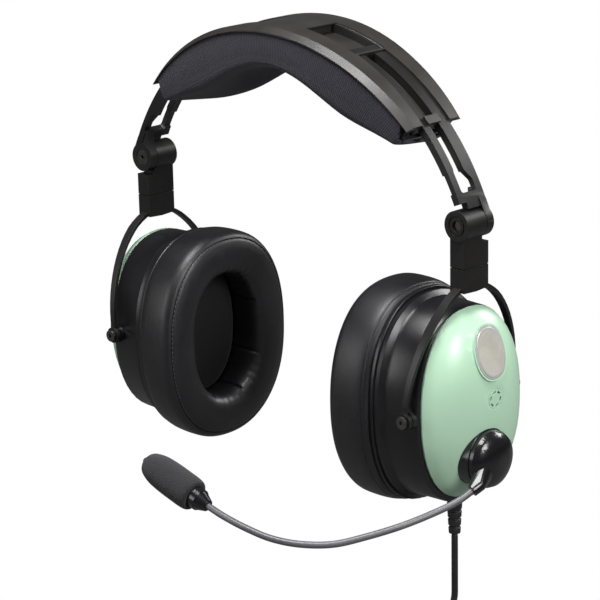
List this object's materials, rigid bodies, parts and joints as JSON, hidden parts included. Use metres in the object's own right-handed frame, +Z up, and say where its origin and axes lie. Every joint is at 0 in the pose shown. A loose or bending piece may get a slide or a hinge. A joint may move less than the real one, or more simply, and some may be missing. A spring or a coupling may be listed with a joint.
{
  "type": "aviation headset",
  "caption": "Over-ear aviation headset with sliding, folding and swivelling ear cups, padded headband, boom microphone and coiled lead with plug.",
  "frame": {"origin": "where the crown of the wearer's head touches the underside of the head pad, in the middle plane", "axes": "+Z up along the wearer's head, -Y the way the wearer looks, +X the wearer's left, where the boom and the lead are"},
  "size_m": [0.254, 0.1518, 0.3984],
  "materials": {
    "band_plastic": "satin",
    "spring_steel": "bare",
    "liner_plastic": "satin",
    "knit": "ribbed",
    "rail_metal": "satin",
    "screw_steel": "dark",
    "black_plastic": "satin",
    "mint_plastic": "satin",
    "leatherette": "smooth",
    "liner_foam": "matte",
    "speaker_metal": "matte",
    "badge_silver": "pearl",
    "board": "matte",
    "boom_metal": "satin",
    "lead_rubber": "matte",
    "strap": "woven",
    "plug_metal": "polished"
  },
  "bodies": {
    "headband": {"headband_shell": "band_plastic", "headband_spring": "spring_steel", "headband_liner": "liner_plastic", "head_pad": "knit", "liner_screws": "spring_steel"},
    "left_rails": {"left_fork": "rail_metal", "left_hinge_pin": "screw_steel"},
    "left_knuckle": {"left_hinge_block": "rail_metal", "left_swivel_stud": "screw_steel"},
    "left_arch": {"left_yoke": "rail_metal"},
    "left_cup": {"left_pivot_screws": "screw_steel", "left_cup_shell": "black_plastic", "left_dome_cover": "mint_plastic", "left_baffle": "black_plastic", "left_ear_seal": "leatherette", "left_ear_liner": "liner_foam", "left_speaker": "speaker_metal", "left_badge": "badge_silver", "left_vent_ring": "mint_plastic", "circuit_board": "board", "boom_base": "black_plastic", "strain_relief": "lead_rubber"},
    "boom": {"boom_knob": "black_plastic", "boom_gooseneck": "boom_metal", "mic_housing": "black_plastic", "mic_capsule": "speaker_metal", "windscreen": "liner_foam"},
    "lead": {"cable": "lead_rubber", "cable_coil": "lead_rubber", "cable_tie": "strap", "plug_handle": "black_plastic", "plug_shank": "plug_metal"},
    "right_rails": {"right_fork": "rail_metal", "right_hinge_pin": "screw_steel"},
    "right_knuckle": {"right_hinge_block": "rail_metal", "right_swivel_stud": "screw_steel"},
    "right_arch": {"right_yoke": "rail_metal"},
    "right_cup": {"right_pivot_screws": "screw_steel", "right_cup_shell": "black_plastic", "right_dome_cover": "mint_plastic", "right_baffle": "black_plastic", "right_ear_seal": "leatherette", "right_ear_liner": "liner_foam", "right_speaker": "speaker_metal", "right_badge": "badge_silver", "right_vent_ring": "mint_plastic"}
  },
  "joints": [
    {"name": "left_slide", "type": "hinge", "parent": "headband", "child": "left_rails", "pos_m": [0, 0, -0.0995], "axis": [0, 1, 0], "range_deg": [-12, 5]},
    {"name": "left_fold", "type": "hinge", "parent": "left_rails", "child": "left_knuckle", "pos_m": [0.106, 0, -0.06008], "axis": [0, 1, 0], "range_deg": [0, 55]},
    {"name": "left_swivel", "type": "hinge", "parent": "left_knuckle", "child": "left_arch", "pos_m": [0.106, 0, -0.07968], "axis": [0, 0, -1], "range_deg": [-90, 10]},
    {"name": "left_tilt", "type": "hinge", "parent": "left_arch", "child": "left_cup", "pos_m": [0.1, 0, -0.14658], "axis": [0, 1, 0], "range_deg": [-10, 10]},
    {"name": "right_slide", "type": "hinge", "parent": "headband", "child": "right_rails", "pos_m": [0, 0, -0.0995], "axis": [0, 1, 0], "range_deg": [-5, 12]},
    {"name": "right_fold", "type": "hinge", "parent": "right_rails", "child": "right_knuckle", "pos_m": [-0.106, 0, -0.06008], "axis": [0, 1, 0], "range_deg": [-55, 0]},
    {"name": "right_swivel", "type": "hinge", "parent": "right_knuckle", "child": "right_arch", "pos_m": [-0.106, 0, -0.07968], "axis": [0, 0, -1], "range_deg": [-10, 90]},
    {"name": "right_tilt", "type": "hinge", "parent": "right_arch", "child": "right_cup", "pos_m": [-0.1, 0, -0.14658], "axis": [0, 1, 0], "range_deg": [-10, 10]},
    {"name": "boom_swing", "type": "hinge", "parent": "left_cup", "child": "boom", "pos_m": [0.1216, -0.005, -0.16758], "axis": [-1, 0, 0], "range_deg": [-20, 60]},
    {"name": "lead_swing", "type": "hinge", "parent": "left_cup", "child": "lead", "pos_m": [0.0955, 0.0015, -0.21483], "axis": [0, 1, 0], "range_deg": [-55, 0]}
  ],
  "couplings": [
    {"joint": "lead_swing", "follows": "left_fold", "ratio": -1}
  ]
}
